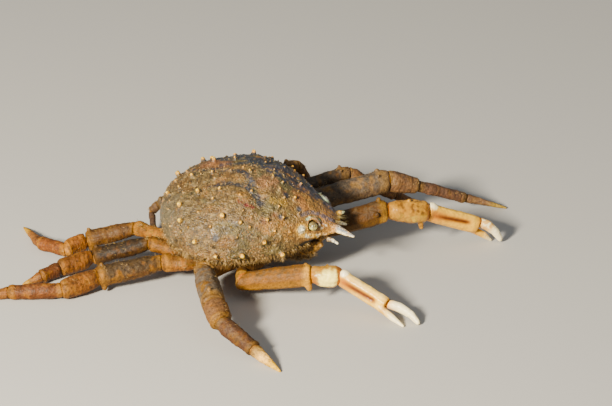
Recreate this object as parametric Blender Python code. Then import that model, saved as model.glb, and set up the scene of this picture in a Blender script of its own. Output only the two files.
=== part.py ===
"""A common spider crab, life size, as a still museum model resting on its feet.

Frame: +X to the crab's front, +Y to its left, +Z up, floor at z = 0.
Sizes are millimetres here and become metres when a mesh is finished.
"""
import math
import random

import bmesh
import bpy
from mathutils import Matrix, Vector

MM = 0.001
GAP = 0.3
SEED = 37

# How the body is held over the floor
BODY_HEIGHT = 19.7
BODY_ROLL = 7.0

# Cross sections of the carapace from rear to front
# x, half width, crown above the edge, wall below the edge, height of the edge
SECTIONS = (
    (-27.5, 0.8, 0.8, 0.8, 1.0),
    (-26.5, 7.5, 4.4, 3.0, 0.8),
    (-23.5, 14.6, 8.0, 5.0, 0.3),
    (-18.0, 21.0, 11.6, 6.3, 0.0),
    (-9.0, 25.3, 14.3, 6.8, 0.0),
    (1.0, 25.6, 16.4, 6.9, 0.0),
    (10.0, 22.2, 15.4, 6.9, 0.0),
    (14.5, 19.6, 13.5, 6.9, 0.1),
    (18.5, 16.6, 10.9, 6.8, 0.2),
    (23.0, 12.2, 7.5, 6.5, 1.0),
    (27.0, 8.4, 4.8, 4.6, 1.2),
    (30.5, 5.8, 3.0, 3.6, 0.4),
    (32.6, 4.8, 1.8, 2.0, -0.4),
)
SHELL_RINGS = 36
SHELL_SIDES = 52
CROWN_POWER = 0.92
WALL_WIDTH_POWER = 0.62
WALL_DEPTH_POWER = 0.5

# The underside is hollowed over the sternum by this share of the wall's depth
HOLLOW = 0.3
HOLLOW_POWER = 8

# Groove between the gastric and branchial humps, on one side, front to rear
GROOVE = ((11.0, 14.5), (8.0, 10.7), (4.6, 7.4), (1.2, 6.4), (-6.0, 7.0), (-16.0, 5.6))
GROOVE_DEPTH = 0.9
GROOVE_WIDTH = 1.6

# Spines and knobs: height and root radius by size
KNOBS = {"large": (1.75, 1.5), "middle": (1.15, 1.1), "small": (0.75, 0.75)}
KNOB_TIP = 0.45

# Spines along the midline, by place along the body
MEDIAN_KNOBS = ((19.5, "small"), (10.9, "middle"), (3.2, "middle"), (-3.4, "small"),
                (-9.8, "middle"), (-16.9, "middle"), (-22.4, "middle"))

# Spines round the margin: place along the body and degrees above the shell's edge
MARGIN_KNOBS = ((17.6, -14), (12.7, 9), (6.0, -1), (-2.2, -1), (-9.2, 10), (-15.4, 30))

# Knobs that stand in pairs on the crown: place along the body, distance from the midline
PAIR_KNOBS = (
    (-12.0, 10.2, "large"), (-1.0, 20.2, "large"), (-16.9, 14.3, "large"), (-23.2, 6.2, "large"),
    (-20.0, 5.0, "middle"), (-5.8, 14.0, "middle"), (-6.2, 17.2, "small"), (-9.9, 18.3, "small"),
    (-4.6, 10.0, "middle"), (5.9, 9.2, "middle"), (5.2, 17.3, "small"), (8.1, 18.0, "small"),
    (5.1, 20.6, "middle"), (8.1, 20.5, "small"), (2.2, 22.4, "small"), (19.2, 4.4, "middle"),
    (16.4, 6.6, "small"), (21.8, 8.4, "small"), (17.5, 13.2, "middle"), (13.0, 16.8, "middle"),
    (10.3, 4.6, "small"), (12.4, 9.4, "small"),
)
SCATTERED_KNOBS = 34
KNOB_SPACING = 3.2

# Rostral horns: root, tip, root radius. The left one is worn short.
HORNS = {
    "right": ((29.5, -2.7, 0.7), (39.8, -5.6, -1.4), 2.5),
    "left": ((29.5, 2.7, 0.7), (34.0, 5.3, 1.0), 2.5),
}

# Eye sockets, the raised arch over each and the spine behind it
EYE_SPOT = (26.0, 7.6, 2.6)
EYE_AIM = (0.5, 0.83, 0.25)
EYE_RADIUS = 1.4
EYE_LENGTH = 3.6
SOCKET_DEPTH = 1.6
ARCH_RADIUS = 2.5
ARCH_THICKNESS = 0.75
ARCH_LIFT = 0.2
ARCH_SPAN = (-30, 200)
EAVE_SPINE = ((24.6, 6.2, 4.4), (25.4, 7.0, 6.4), 0.9)
REAR_SPINE = ((20.8, 9.8, 2.0), (24.6, 12.1, 3.4), 1.7)

# The third maxillipeds and the short antennae, on the left side, and their half heights
MAXILLIPED_LINE = ((14.2, 3.2, -10.1), (19.0, 3.2, -10.4), (23.4, 3.1, -9.1), (27.8, 2.9, -7.0))
MAXILLIPED_RADII = (3.1, 3.4, 3.1, 1.3)
MAXILLIPED_FLAT = 0.82
ANTENNA_LINE = ((30.4, 5.2, -3.7), (32.4, 5.6, -3.7), (34.3, 6.1, -4.5))
ANTENNA_RADII = (0.85, 0.65, 0.35)

# Sternum outline on one side, front to rear; each edge carries one leg
STERNUM = ((13.5, 6.0), (4.8, 11.7), (-2.0, 12.6), (-9.0, 12.2), (-15.0, 9.5), (-19.5, 5.2))
STERNUM_TOP = -5.6
STERNUM_LOW = -13.2
STERNUM_BEVEL = 1.0
ROOT_HEIGHT = -9.7

# Leg pose: for coxa, ischium, merus, carpus, propodus and dactyl the length, heading
# in degrees and height over the floor of its far end
POSE = {
    "claw_right": ((10.5, -122, 7), (5.5, -72, 6), (23.5, 0, 11), (9.5, 9, 10.5),
                   (18.5, -17, 4.5), (12.5, -14, 0.6)),
    "claw_left": ((5, -2, 10.5), (7.5, -10, 11), (24.5, 22, 16.5), (14.5, 27, 14.5),
                  (19.5, 32, 7), (10.5, 20, 0.6)),
    "leg1_right": ((6.5, -125, 8), (8, -124, 8.5), (26.5, -68, 9.5), (9.5, -59, 7.5),
                   (15.5, -30, 3), (13.5, -36, 0.25)),
    "leg2_right": ((10.5, -147, 8), (8, -172, 8), (22, -152, 5), (13.5, -137, 3.5),
                   (17.5, -167, 2.5), (11, -167, 0.25)),
    "leg3_right": ((8.5, -159, 10), (8, 169, 11), (20, -172, 5), (12.5, -139, 3.5),
                   (7.5, -129, 2.5), (7, -153, 0.25)),
    "leg4_right": ((6.5, -176, 11.6), (15, 146, 9.5), (17.5, -167, 5), (8.5, -132, 3.5),
                   (11.5, 155, 2.5), (19, 126, 0.25)),
    "leg1_left": ((4, 30, 12), (10, 39, 13), (33, 34, 17), (11, 26, 14),
                  (21.5, 44, 5), (15.5, 20, 0.25)),
    "leg2_left": ((3.5, 45, 12), (12, 53, 13.5), (27.5, 37, 17), (9, 23, 12),
                  (13.5, 56, 5), (12.5, 16, 0.25)),
    "leg3_left": ((3.5, 90, 12), (9, 63, 13.5), (22.5, 33, 21), (10.5, 74, 13),
                  (13, 72, 5.5), (13, 73, 0.25)),
    "leg4_left": ((4, 133, 11), (6, 89, 11.5), (15, 165, 8.5), (4.5, 179, 5),
                  (8.5, -69, 2.5), (6, -64, 0.25)),
}
ROOT_EDGE = {"claw": 0, "leg1": 1, "leg2": 2, "leg3": 3, "leg4": 4}

# Length of the short neck on which each leg leaves the sternum
NECK = 2.4

# Half height of the legs at the root, neck and joints, and how far each piece swells.
# Each leg has one factor for its upper joints and one from the end of its carpus on.
ROOT_SIZE = 1.02
LEG_SIZE = {
    "leg1_right": (1.36, 1.3), "leg2_right": (1.16, 1.22), "leg3_right": (0.95, 1.1),
    "leg4_right": (0.95, 1.1), "leg1_left": (1.34, 0.92), "leg2_left": (0.95, 0.9),
    "leg3_left": (0.9, 0.85), "leg4_left": (0.55, 0.5),
}
JOINT_RADII = (2.3, 2.3, 2.5, 2.5, 2.6, 2.2, 1.8)
FREE_JOINT = 3
LOWER_JOINT = 5
SWELL = {"base": 1.0, "merus": 1.18, "carpus": 1.28, "propodus": 1.08, "dactyl": 1.08}
CLAW_RADII = (2.4, 2.4, 2.1, 3.0, 3.2, 2.9, 2.9)
CLAW_SIZE = {"left": 1.08, "right": 1.0}
TIP_RADIUS = 0.35
LEG_SIDES = 10

# Fixed finger of each claw, seen from the hinge: length and heading in degrees
LOW_FINGER = {"right": (9.8, -36), "left": (8.7, 36)}
FINGER_RADII = {"top": (1.65, 1.7, 1.4, 1.0, 0.55), "low": (1.25, 1.15, 0.45)}

# How far the top finger bows out at the places along it
FINGER_BOW = ((0.33, 1.25), (0.68, 1.35), (0.93, 0.45))

# Blunt teeth on the legs: place along the piece, degrees round it, height, root radius
TEETH = {
    "leg_right": ((0.9, 75, 1.1, 1.0), (0.93, -120, 1.1, 1.2)),
    "leg_left": ((0.9, 105, 1.1, 1.0), (0.88, 60, 1.0, 0.9)),
    "claw_right_merus": ((0.95, -60, 1.4, 1.5), (0.93, 110, 0.5, 0.9)),
    "claw_left_merus": ((0.84, 20, 1.5, 1.3), (0.93, 100, 1.1, 1.0)),
    "claw_right_carpus": ((0.5, 140, 0.9, 0.9),),
    "claw_left_carpus": ((0.5, 85, 0.9, 1.0), (0.85, -75, 1.9, 1.3)),
}

# Rings of a leg piece: place along it, and how much of its swelling it has there
LONG_SHAPE = ((0.0, 0.0), (0.25, 0.8), (0.6, 1.0), (0.86, 1.0), (1.0, 0.0))
SHORT_SHAPE = ((0.0, 0.0), (0.5, 0.5), (1.0, 0.0))
PEAR_SHAPE = ((0.0, -0.9), (0.16, -0.75), (0.4, 0.35), (0.66, 1.0), (0.88, 0.75), (1.0, 0.0))
PEAR_SWELL = 1.3


def clear_scene():
    """Remove every object that the file starts with."""
    for obj in list(bpy.data.objects):
        bpy.data.objects.remove(obj, do_unlink=True)


def srgb(hex_code):
    """Turn an sRGB hex colour into linear RGBA."""
    channels = [int(hex_code[i:i + 2], 16) / 255 for i in (1, 3, 5)]
    linear = [c / 12.92 if c <= 0.04045 else ((c + 0.055) / 1.055) ** 2.4 for c in channels]
    return (*linear, 1.0)


def make_material(name, hex_code, roughness):
    """A Principled material in one colour."""
    material = bpy.data.materials.new(name)
    material.use_nodes = True
    shader = material.node_tree.nodes["Principled BSDF"]
    shader.inputs["Base Color"].default_value = srgb(hex_code)
    shader.inputs["Roughness"].default_value = roughness
    shader.inputs["Metallic"].default_value = 0.0
    return material


def add_object(name, bm, material):
    """Finish a bmesh in millimetres as an object in metres."""
    bmesh.ops.recalc_face_normals(bm, faces=bm.faces)
    bmesh.ops.triangulate(bm, faces=bm.faces)
    bmesh.ops.scale(bm, vec=(MM, MM, MM), verts=bm.verts)
    mesh = bpy.data.meshes.new(name)
    bm.to_mesh(mesh)
    bm.free()
    mesh.shade_smooth()
    mesh.set_sharp_from_angle(angle=math.radians(50))
    mesh.materials.append(material)
    obj = bpy.data.objects.new(name, mesh)
    bpy.context.scene.collection.objects.link(obj)
    return obj


def body_matrix():
    """From the body's own frame, level with the carapace edge, to the floor's frame."""
    return Matrix.Translation((0, 0, BODY_HEIGHT)) @ Matrix.Rotation(math.radians(BODY_ROLL), 4, "X")


def mirror_side(point, side):
    """A point given for the left side, on the side that is asked for."""
    x, y, z = point
    return Vector((x, y if side == "left" else -y, z))


def section(u):
    """The carapace section at row position u, by a smooth curve through the rows."""
    last = len(SECTIONS) - 1
    i = min(int(u), last - 1)
    t = u - i
    rows = [SECTIONS[min(max(k, 0), last)] for k in (i - 1, i, i + 1, i + 2)]
    return tuple(
        0.5 * (2 * b + (c - a) * t + (2 * a - 5 * b + 4 * c - d) * t * t
               + (3 * b - a - 3 * c + d) * t ** 3)
        for a, b, c, d in zip(*rows))


def section_at(x):
    """The carapace section at a distance along the body."""
    low, high = 0.0, len(SECTIONS) - 1.0
    for _ in range(40):
        middle = (low + high) / 2
        if section(middle)[0] < x:
            low = middle
        else:
            high = middle
    return section(low)


def groove_depth(x, y):
    """How far the crown is sunk at a place by the groove between its humps."""
    spot = Vector((x, abs(y)))
    nearest = 99.0
    for a, b in zip(GROOVE, GROOVE[1:]):
        start, run = Vector(a), Vector(b) - Vector(a)
        along = max(0.0, min(1.0, (spot - start).dot(run) / run.length_squared))
        nearest = min(nearest, (spot - start - run * along).length)
    return GROOVE_DEPTH * math.exp(-(nearest / GROOVE_WIDTH) ** 2)


def shell_point(row, angle):
    """A point of the carapace on one section, angle 0 at the left edge and 90 degrees on top."""
    x, width, crown, wall, edge = row
    c, s = math.cos(angle), math.sin(angle)
    if s >= 0:
        sunk = groove_depth(x, width * c) * min(1.0, crown * s)
        return Vector((x, width * c, edge + crown * s ** CROWN_POWER - sunk))
    y = width * math.copysign(abs(c) ** WALL_WIDTH_POWER, c)
    depth = wall * (-s) ** WALL_DEPTH_POWER * (1 - HOLLOW * s ** HOLLOW_POWER)
    return Vector((x, y, edge - depth))


def on_shell(x, angle):
    """A point of the carapace and the outward normal there."""
    step = 0.4
    turn = math.radians(2)
    spot = shell_point(section_at(x), angle)
    along = shell_point(section_at(x + step), angle) - shell_point(section_at(x - step), angle)
    around = shell_point(section_at(x), angle + turn) - shell_point(section_at(x), angle - turn)
    return spot, around.cross(along).normalized()


def crown_angle(x, y):
    """The angle on the section at x at which the crown is over y."""
    width = section_at(x)[1]
    return math.acos(max(-0.99, min(0.99, y / width)))


def knob_places():
    """Where every knob of the carapace stands: place along, angle and size."""
    places = [(x, math.pi / 2, size) for x, size in MEDIAN_KNOBS]
    for x, degrees in MARGIN_KNOBS:
        angle = math.radians(degrees)
        places += [(x, angle, "large"), (x, math.pi - angle, "large")]
    for x, y, size in PAIR_KNOBS:
        places += [(x, crown_angle(x, y), size), (x, crown_angle(x, -y), size)]
    spots = [on_shell(x, angle)[0] for x, angle, size in places]
    wanted = len(places) + SCATTERED_KNOBS
    while len(places) < wanted:
        x = random.uniform(-24, 22)
        angle = math.radians(random.uniform(12, 168))
        spot = on_shell(x, angle)[0]
        if min((spot - other).length for other in spots) > KNOB_SPACING:
            places.append((x, angle, "small"))
            spots.append(spot)
    return places


def tube(stations, sides):
    """A closed tube of radius 1 along Z from 0 to 1, with a ring at each station."""
    bm = bmesh.new()
    bmesh.ops.create_cone(bm, cap_ends=True, segments=sides, radius1=1, radius2=1, depth=1,
                          matrix=Matrix.Translation((0, 0, 0.5)))
    for station in stations:
        bmesh.ops.bisect_plane(bm, geom=bm.verts[:] + bm.edges[:] + bm.faces[:],
                               plane_co=(0, 0, station), plane_no=(0, 0, 1))
    return bm


def cone_spine(bm, root, tip, radius, sides=5, blunt=0.18):
    """A tapered blunt spine, its root sunk below the given point."""
    axis = (tip - root).normalized()
    sunk = root - axis * radius * 0.8
    length = (tip - sunk).length
    turn = Vector((0, 0, 1)).rotation_difference(axis).to_matrix().to_4x4()
    place = Matrix.Translation(sunk + axis * length / 2) @ turn
    bmesh.ops.create_cone(bm, cap_ends=True, segments=sides, radius1=radius, radius2=radius * blunt,
                          depth=length, matrix=place)


def bent_tube(points, radii, sides, shape=((0.0, 0.0), (1.0, 0.0)), flat=1.0):
    """A closed tube along a bent line."""
    runs = [(b - a).normalized() for a, b in zip(points, points[1:])]
    normals = [runs[0]] + [(a + b).normalized() for a, b in zip(runs, runs[1:])] + [runs[-1]]
    return limb(points, normals, radii, 1.0, flat=flat, sides=sides, gaps=(False, False), shape=shape)


def join_bodies(name, core, pieces, cutters, material):
    """Fuse pieces with a core object, cut it, and keep its largest closed surface."""
    group = bpy.data.collections.new(name + "_pieces")
    group_cut = bpy.data.collections.new(name + "_cutters")
    for collection, items in ((group, pieces), (group_cut, cutters)):
        bpy.context.scene.collection.children.link(collection)
        for item in items:
            bpy.context.scene.collection.objects.unlink(item)
            collection.objects.link(item)
    for operation, collection in (("UNION", group), ("DIFFERENCE", group_cut)):
        if collection.objects:
            modifier = core.modifiers.new(operation.lower(), "BOOLEAN")
            modifier.operation = operation
            modifier.operand_type = "COLLECTION"
            modifier.collection = collection
            modifier.solver = "EXACT"
    graph = bpy.context.evaluated_depsgraph_get()
    bm = bmesh.new()
    bm.from_mesh(core.evaluated_get(graph).to_mesh())
    for collection in (group, group_cut):
        for item in list(collection.objects):
            bpy.data.objects.remove(item, do_unlink=True)
        bpy.data.collections.remove(collection)
    bpy.data.objects.remove(core, do_unlink=True)
    keep_largest(bm)
    bmesh.ops.scale(bm, vec=(1 / MM, 1 / MM, 1 / MM), verts=bm.verts)
    return add_object(name, bm, material)


def keep_largest(bm):
    """Drop every closed surface but the one with the most room inside."""
    left = set(bm.faces)
    shells = []
    while left:
        stack = [left.pop()]
        shell = []
        while stack:
            face = stack.pop()
            shell.append(face)
            for edge in face.edges:
                for other in edge.link_faces:
                    if other in left:
                        left.remove(other)
                        stack.append(other)
        shells.append(shell)

    def room(shell):
        return abs(sum(f.calc_center_median().dot(f.normal) * f.calc_area() for f in shell))
    shells.sort(key=room, reverse=True)
    for shell in shells[1:]:
        bmesh.ops.delete(bm, geom=shell, context="FACES")


def flatten_foot(bm):
    """Cut a mesh off at the floor and close it with a small flat."""
    if min(v.co.z for v in bm.verts) > -0.01:
        return
    cut = bmesh.ops.bisect_plane(bm, geom=bm.verts[:] + bm.edges[:] + bm.faces[:],
                                 plane_co=(0, 0, 0), plane_no=(0, 0, 1), clear_inner=True)
    rim = [e for e in cut["geom_cut"] if isinstance(e, bmesh.types.BMEdge)]
    bmesh.ops.contextual_create(bm, geom=rim)


def joint_points(leg):
    """The joints of a leg, from its root on the sternum to its tip."""
    kind, side = leg.split("_")
    front, rear = STERNUM[ROOT_EDGE[kind]], STERNUM[ROOT_EDGE[kind] + 1]
    root = mirror_side(((front[0] + rear[0]) / 2, (front[1] + rear[1]) / 2, ROOT_HEIGHT), side)
    points = [body_matrix() @ root]
    points.append(points[0] + facet_normal(leg) * NECK)
    for length, heading, height in POSE[leg]:
        rise = height - points[-1].z
        reach = math.sqrt(length ** 2 - rise ** 2)
        a = math.radians(heading)
        points.append(points[-1] + Vector((reach * math.cos(a), reach * math.sin(a), rise)))
    return points


def facet_normal(leg):
    """The outward normal of the sternum edge that carries a leg."""
    kind, side = leg.split("_")
    front, rear = STERNUM[ROOT_EDGE[kind]], STERNUM[ROOT_EDGE[kind] + 1]
    normal = Vector((rear[1] - front[1], front[0] - rear[0], 0)).normalized()
    if side == "right":
        normal.y = -normal.y
    return body_matrix().to_3x3() @ normal


def joint_planes(leg, points):
    """The plane normal at each joint, halfway between the segments that meet there."""
    runs = [(b - a).normalized() for a, b in zip(points, points[1:])]
    normals = [facet_normal(leg)]
    normals += [(a + b).normalized() for a, b in zip(runs, runs[1:])]
    normals.append(runs[-1])
    return normals


def limb(points, normals, radii, swell, flat=1.0, sides=LEG_SIDES, gaps=(True, True), shape=None):
    """A leg piece along one or more runs, its two ends cut on the joint planes."""
    bm = bmesh.new()
    runs = len(points) - 1
    shape = shape or (LONG_SHAPE if runs == 1 else SHORT_SHAPE)
    previous = None
    for i in range(runs):
        start, end = points[i], points[i + 1]
        axis = (end - start).normalized()
        side = axis.cross(Vector((0, 0, 1))).normalized()
        up = side.cross(axis)
        length = (end - start).length
        near = GAP / 2 if i == 0 and gaps[0] else 0.0
        far = -GAP / 2 if i == runs - 1 and gaps[1] else 0.0
        first = radii[i] * (1 + (swell - 1) * shape[0][1])
        last = radii[i + 1] * (1 + (swell - 1) * shape[-1][1])
        rays = [side * math.cos(a) * flat + up * math.sin(a)
                for a in (2 * math.pi * k / sides for k in range(sides))]
        for s, swollen in shape:
            if s == 0.0 and previous:
                continue
            radius = (radii[i] + (radii[i + 1] - radii[i]) * s) * (1 + (swell - 1) * swollen)
            ring = []
            for ray in rays:
                low = (near - ray.dot(normals[i]) * first) / axis.dot(normals[i])
                high = (far - ray.dot(normals[i + 1]) * last) / axis.dot(normals[i + 1])
                along = low + (length + high - low) * s
                ring.append(bm.verts.new(start + axis * along + ray * radius))
            if previous:
                for k in range(sides):
                    bm.faces.new((previous[k - 1], previous[k], ring[k], ring[k - 1]))
            else:
                bm.faces.new(ring)
            previous = ring
    bm.faces.new(previous)
    return bm


def toothed(name, bm, ends, radius, teeth, material):
    """A leg piece with its blunt teeth fused on."""
    start, end = ends
    axis = (end - start).normalized()
    side = axis.cross(Vector((0, 0, 1))).normalized()
    up = side.cross(axis)
    core = add_object(name + "_core", bm, material)
    pieces = []
    for number, (place, degrees, height, root) in enumerate(teeth):
        a = math.radians(degrees)
        out = side * math.cos(a) + up * math.sin(a)
        foot = start.lerp(end, place) + out * radius * 0.95
        tooth = bmesh.new()
        cone_spine(tooth, foot, foot + (out + axis * 0.3).normalized() * height, root, 6, KNOB_TIP)
        pieces.append(add_object(name + "_tooth" + str(number), tooth, material))
    join_bodies(name, core, pieces, [], material)


def build_leg(leg, materials):
    """The five pieces of one walking leg."""
    upper, lower = LEG_SIZE[leg]
    points = joint_points(leg)
    normals = joint_planes(leg, points)
    radii = [r * (lower if k >= LOWER_JOINT else upper) for k, r in enumerate(JOINT_RADII)]
    for k in range(FREE_JOINT):
        radii[k] = JOINT_RADII[k] * min(upper, ROOT_SIZE)
    radii.append(TIP_RADIUS)
    names = (("base", 0, 3), ("merus", 3, 4), ("carpus", 4, 5), ("propodus", 5, 6), ("dactyl", 6, 7))
    for name, first, last in names:
        bm = limb(points[first:last + 1], normals[first:last + 1], radii[first:last + 1],
                  SWELL[name], gaps=(True, name != "dactyl"))
        flatten_foot(bm)
        if name == "merus":
            teeth = TEETH["leg_" + leg.split("_")[1]]
            toothed(leg + "_merus", bm, points[3:5], radii[4] * SWELL[name], teeth, materials[name])
        else:
            add_object(leg + "_" + name, bm, materials[name])


def build_claw(leg, materials):
    """The five pieces of one claw leg; the palm carries the fixed finger."""
    points = joint_points(leg)
    normals = joint_planes(leg, points)
    hand = leg.split("_")[1]
    size = CLAW_SIZE[hand]
    radii = [r * size for r in CLAW_RADII]
    for name, first, last in (("base", 0, 3), ("merus", 3, 4), ("carpus", 4, 5)):
        pear = name == "carpus"
        bm = limb(points[first:last + 1], normals[first:last + 1], radii[first:last + 1],
                  PEAR_SWELL if pear else SWELL[name], shape=PEAR_SHAPE if pear else None)
        if name == "base":
            add_object(leg + "_base", bm, materials["claw_base"])
        else:
            toothed(leg + "_" + name, bm, points[first:last + 1], radii[last] * SWELL[name],
                    TEETH[leg + "_" + name], materials["claw_" + name])
    wrist, hinge, tip = points[5:]
    axis = (hinge - wrist).normalized()
    up = axis.cross(Vector((0, 0, 1))).cross(axis).normalized()
    palm = limb([wrist, hinge], [normals[5], axis], radii[5:7], 1.04, flat=0.8)
    palm_object = add_object(leg + "_palm_core", palm, materials["claw_palm"])
    length, heading = LOW_FINGER[hand]
    fall = hinge.z - TIP_RADIUS * 0.6
    reach = math.sqrt(length ** 2 - fall ** 2)
    a = math.radians(heading)
    low_tip = hinge + Vector((reach * math.cos(a), reach * math.sin(a), -fall))
    low_run = low_tip - hinge
    low_run -= axis * low_run.dot(axis)
    out = low_run.normalized()
    low_root = hinge - axis * 3 + out * radii[6] * 0.55
    low_middle = hinge + axis * length * 0.45 + out * radii[6] * 0.9
    finger = bent_tube([low_root, low_middle, low_tip], [r * size for r in FINGER_RADII["low"]], 8,
                       SHORT_SHAPE)
    flatten_foot(finger)
    finger_object = add_object(leg + "_finger_core", finger, materials["claw_finger"])
    join_bodies(leg + "_palm", palm_object, [finger_object], [], materials["claw_palm"])
    top_root = hinge - out * radii[6] * 0.38
    line = [top_root] + [top_root.lerp(tip, place) - out * bow for place, bow in FINGER_BOW] + [tip]
    runs = [(b - a).normalized() for a, b in zip(line, line[1:])]
    planes = [axis] + [(a + b).normalized() for a, b in zip(runs, runs[1:])] + [runs[-1]]
    top = limb(line, planes, [r * size for r in FINGER_RADII["top"]], 1.0, flat=0.9,
               gaps=(True, False), shape=((0.0, 0.0), (1.0, 0.0)))
    flatten_foot(top)
    add_object(leg + "_finger", top, materials["claw_finger"])


def build_carapace(materials):
    """The shell with its rostral horns, orbits, spines and knobs."""
    last = len(SECTIONS) - 1
    bm = tube([k / SHELL_RINGS for k in range(1, SHELL_RINGS)], SHELL_SIDES)
    for v in bm.verts:
        angle = math.atan2(v.co.y, v.co.x)
        v.co = shell_point(section(v.co.z * last), angle)
    core = add_object("carapace_core", bm, materials["carapace"])
    horns = bmesh.new()
    for root, tip, radius in HORNS.values():
        cone_spine(horns, Vector(root), Vector(tip), radius, 9)
    knobs = bmesh.new()
    for x, angle, size in knob_places():
        height, radius = KNOBS[size]
        spot, normal = on_shell(x, angle)
        sides = 6 if size == "large" else 5
        cone_spine(knobs, spot, spot + normal * height, radius, sides, KNOB_TIP)
    pieces = [add_object("horns", horns, materials["carapace"]),
              add_object("knobs", knobs, materials["carapace"])]
    cutters = []
    for side in ("left", "right"):
        spot = mirror_side(EYE_SPOT, side)
        aim = mirror_side(EYE_AIM, side).normalized()
        across = Vector((0, 0, 1)).cross(aim).normalized()
        if side == "right":
            across = -across
        up = Vector((0, 0, 1)) - aim * aim.z
        up.normalize()
        first, end = ARCH_SPAN
        steps = 8
        line = []
        for k in range(steps + 1):
            a = math.radians(first + (end - first) * k / steps)
            line.append(spot + (across * -math.cos(a) + up * math.sin(a)) * ARCH_RADIUS + aim * ARCH_LIFT)
        rim = bent_tube(line, [ARCH_THICKNESS] * len(line), 6)
        pieces.append(add_object("arch_" + side, rim, materials["carapace"]))
        guards = bmesh.new()
        for root, tip, radius in (EAVE_SPINE, REAR_SPINE):
            cone_spine(guards, mirror_side(root, side), mirror_side(tip, side), radius, 7)
        pieces.append(add_object("guards_" + side, guards, materials["carapace"]))
        turn = Vector((0, 0, 1)).rotation_difference(aim).to_matrix().to_4x4()
        hole = bmesh.new()
        bmesh.ops.create_cone(hole, cap_ends=True, segments=12, radius1=EYE_RADIUS + GAP,
                              radius2=EYE_RADIUS + GAP, depth=8,
                              matrix=Matrix.Translation(spot + aim * (4 - SOCKET_DEPTH)) @ turn)
        cutters.append(add_object("socket_" + side, hole, materials["carapace"]))
    obj = join_bodies("carapace", core, pieces, cutters, materials["carapace"])
    tilt(obj)


def tilt(obj):
    """Move a finished piece from the body's frame to the floor's frame."""
    matrix = body_matrix()
    matrix.translation *= MM
    obj.data.transform(matrix)


def build_eyes(materials):
    """A short stalk with a round cornea in each socket."""
    for side in ("left", "right"):
        spot = mirror_side(EYE_SPOT, side)
        aim = mirror_side(EYE_AIM, side).normalized()
        bm = tube((0.25, 0.5, 0.7, 0.85, 0.95), 12)
        turn = Vector((0, 0, 1)).rotation_difference(aim).to_matrix()
        for v in bm.verts:
            s = v.co.z
            swell = math.sqrt(max(0.0, 1 - ((s - 0.6) / 0.42) ** 2)) if s > 0.6 else 0.8 + s / 3
            radial = Vector((v.co.x, v.co.y, 0)) * EYE_RADIUS * max(swell, 0.25)
            v.co = spot + turn @ (radial + Vector((0, 0, GAP - SOCKET_DEPTH + s * EYE_LENGTH)))
        tilt(add_object("eye_" + side, bm, materials["eye"]))


def plate(outline, top, low, bevel):
    """A flat plate from an outline, its lower edge bevelled."""
    bm = bmesh.new()
    face = bm.faces.new([bm.verts.new((x, y, top)) for x, y in outline])
    grown = bmesh.ops.extrude_face_region(bm, geom=[face])
    moved = [g for g in grown["geom"] if isinstance(g, bmesh.types.BMVert)]
    for v in moved:
        v.co.z = low
    base = [g for g in grown["geom"] if isinstance(g, bmesh.types.BMFace)][0]
    bmesh.ops.bevel(bm, geom=list(base.edges), offset=bevel, offset_type="OFFSET", segments=1,
                    profile=0.5, affect="EDGES", material=-1)
    return bm


def build_sternum(materials):
    """The breast plate that carries the legs."""
    left = list(STERNUM)
    outline = left + [(x, -y) for x, y in reversed(left)]
    bm = plate(outline, STERNUM_TOP, STERNUM_LOW, STERNUM_BEVEL)
    tilt(add_object("sternum", bm, materials["sternum"]))


def build_abdomen(materials):
    """The tail flap folded under the sternum, one closed bent plate."""
    path = ((-22.6, -6.0), (-22.2, -11.5), (-19.5, -13.9), (-10, -14.1), (0, -14.1), (8, -14.1))
    widths = (5.0, 6.5, 7.8, 8.4, 6.5, 2.2)
    thick = 0.65
    bm = bmesh.new()
    previous = None
    for i, ((x, z), width) in enumerate(zip(path, widths)):
        before = path[max(i - 1, 0)]
        after = path[min(i + 1, len(path) - 1)]
        run = Vector((after[0] - before[0], after[1] - before[1])).normalized()
        across = Vector((-run.y, run.x)) * thick
        corners = ((-1, -1), (-0.6, -1), (0.6, -1), (1, -1), (1, 1), (0.6, 1), (-0.6, 1), (-1, 1))
        ring = []
        for cy, cn in corners:
            inset = 0.5 if abs(cy) == 1 else 1.0
            ring.append(bm.verts.new((x + across.x * cn * inset, cy * width, z + across.y * cn * inset)))
        if previous is None:
            bm.faces.new(ring)
        else:
            for k in range(len(ring)):
                bm.faces.new((previous[k - 1], previous[k], ring[k], ring[k - 1]))
        previous = ring
    bm.faces.new(previous)
    tilt(add_object("abdomen", bm, materials["sternum"]))


def build_mouth(materials):
    """The two third maxillipeds that close the mouth, and the short antennae."""
    for side in ("left", "right"):
        points = [mirror_side(p, side) for p in MAXILLIPED_LINE]
        runs = [(b - a).normalized() for a, b in zip(points, points[1:])]
        normals = [Vector((1, 0, 0))] + [(a + b).normalized() for a, b in zip(runs, runs[1:])] + [runs[-1]]
        bm = limb(points, normals, MAXILLIPED_RADII, 1.0, flat=MAXILLIPED_FLAT, sides=12, gaps=(False, False))
        for v in bm.verts:
            inner = GAP / 2
            v.co.y = max(v.co.y, inner) if side == "left" else min(v.co.y, -inner)
        tilt(add_object("maxilliped_" + side, bm, materials["mouth"]))
        points = [mirror_side(p, side) for p in ANTENNA_LINE]
        bm = bent_tube(points, ANTENNA_RADII, 6)
        tilt(add_object("antenna_" + side, bm, materials["mouth"]))


def centre_on_floor():
    """Move the model so that the middle of its box is over the origin."""
    objects = [o for o in bpy.data.objects if o.type == "MESH"]
    corners = [v.co for o in objects for v in o.data.vertices]
    low = [min(c[k] for c in corners) for k in (0, 1, 2)]
    high = [max(c[k] for c in corners) for k in (0, 1, 2)]
    shift = Matrix.Translation((-(low[0] + high[0]) / 2, -(low[1] + high[1]) / 2, -low[2]))
    for obj in objects:
        obj.data.transform(shift)


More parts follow.
